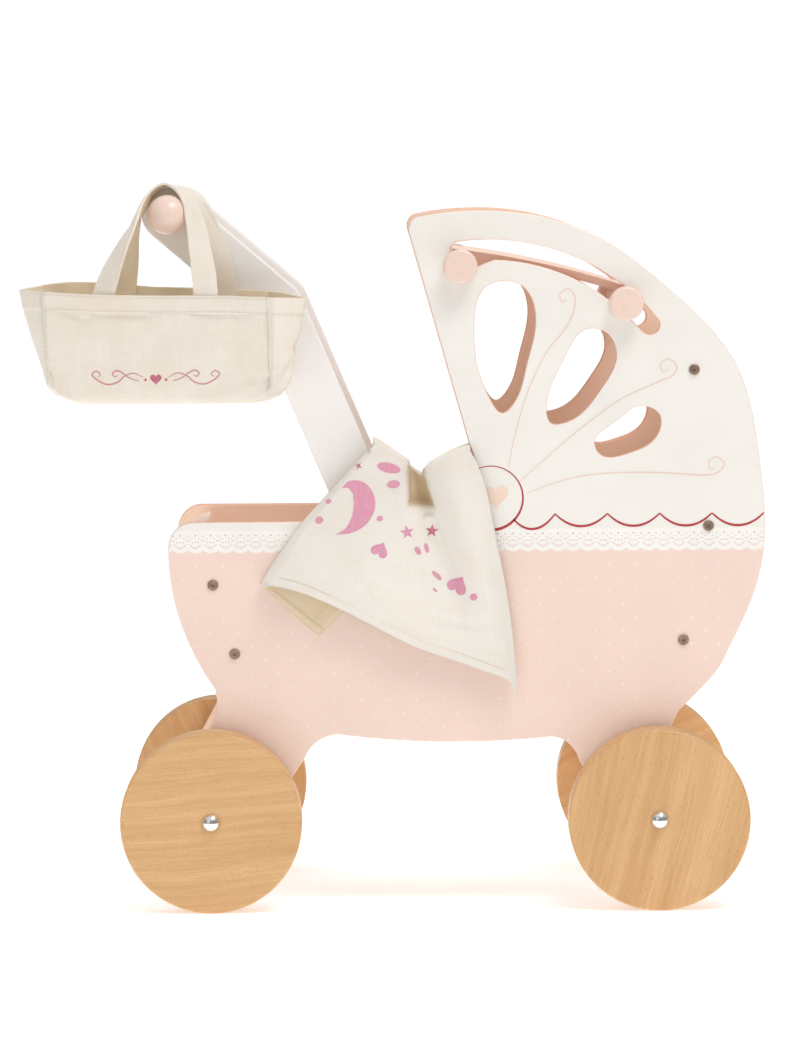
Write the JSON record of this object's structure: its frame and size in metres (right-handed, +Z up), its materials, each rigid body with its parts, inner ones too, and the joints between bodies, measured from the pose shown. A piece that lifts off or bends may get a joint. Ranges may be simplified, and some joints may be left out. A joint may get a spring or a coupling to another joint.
{
  "type": "doll stroller",
  "caption": "Wooden doll's pram with a petal-cut hood, a push handle, a hanging cloth bag and a draped blanket.",
  "frame": {"origin": "on the floor, under the middle of the pram's bounding box", "axes": "+X from the push handle to the hood, +Y to the pram's left, +Z up"},
  "size_m": [0.5885, 0.301, 0.5803],
  "materials": {
    "panel_paint": "painted, satin, two-tone with printed ornament",
    "inner_paint": "pale pink paint, satin",
    "white_paint": "white paint, satin",
    "knob_paint": "pale pink paint, satin",
    "beech": "clear lacquered wood",
    "plain_wood": "unfinished wood",
    "steel": "zinc plated",
    "bronze_screw": "antique bronze plated",
    "chrome": "polished",
    "canvas": "unbleached cotton canvas",
    "cotton": "unbleached cotton, printed"
  },
  "bodies": {
    "root": {"side_panel_right": "panel_paint", "side_panel_left": "panel_paint", "foot_end_panel": "inner_paint", "head_end_panel": "inner_paint", "hood_back_rail": "inner_paint", "base_board": "inner_paint", "base_cleat_right": "plain_wood", "base_cleat_left": "plain_wood", "barrel_nuts_right": "steel", "barrel_nuts_left": "steel", "connector_screws_right": "bronze_screw", "connector_screws_left": "bronze_screw", "axle_rear": "steel", "axle_front": "steel", "wheel_spacers_rear": "steel", "wheel_spacers_front": "steel", "hub_cap_rear_right": "chrome", "hub_cap_rear_left": "chrome", "hub_cap_front_right": "chrome", "hub_cap_front_left": "chrome", "handle_arm_right": "white_paint", "handle_arm_left": "white_paint", "handle_bar": "knob_paint", "handle_knob_right": "knob_paint", "handle_knob_left": "knob_paint", "handle_screws": "steel", "blanket": "cotton"},
    "shade": {"shade_board": "inner_paint", "shade_bar_front": "knob_paint", "shade_bar_rear": "knob_paint", "shade_knob_front_right": "knob_paint", "shade_knob_front_left": "knob_paint", "shade_knob_rear_right": "knob_paint", "shade_knob_rear_left": "knob_paint"},
    "bag": {"bag_body": "canvas", "bag_strap_front": "canvas", "bag_strap_back": "canvas"},
    "wheel_rear_right": {"wheel_rear_right": "beech"},
    "wheel_rear_left": {"wheel_rear_left": "beech"},
    "wheel_front_right": {"wheel_front_right": "beech"},
    "wheel_front_left": {"wheel_front_left": "beech"}
  },
  "joints": [
    {"name": "wheel_rear_right_spin", "type": "hinge", "parent": "root", "child": "wheel_rear_right", "pos_m": [-0.147, 0, 0.072], "axis": [0, 1, 0], "continuous": true},
    {"name": "wheel_rear_left_spin", "type": "hinge", "parent": "root", "child": "wheel_rear_left", "pos_m": [-0.147, 0, 0.072], "axis": [0, 1, 0], "continuous": true},
    {"name": "wheel_front_right_spin", "type": "hinge", "parent": "root", "child": "wheel_front_right", "pos_m": [0.208, 0, 0.072], "axis": [0, 1, 0], "continuous": true},
    {"name": "wheel_front_left_spin", "type": "hinge", "parent": "root", "child": "wheel_front_left", "pos_m": [0.208, 0, 0.072], "axis": [0, 1, 0], "continuous": true},
    {"name": "shade_slide_back", "type": "hinge", "parent": "root", "child": "shade", "pos_m": [0.1175, 0, 0.3972], "axis": [0, 1, 0], "range_deg": [0, 12.8]},
    {"name": "bag_swing", "type": "hinge", "parent": "root", "child": "bag", "pos_m": [-0.178, -0.126, 0.552], "axis": [0, 1, 0], "range_deg": [-12, 12]}
  ]
}
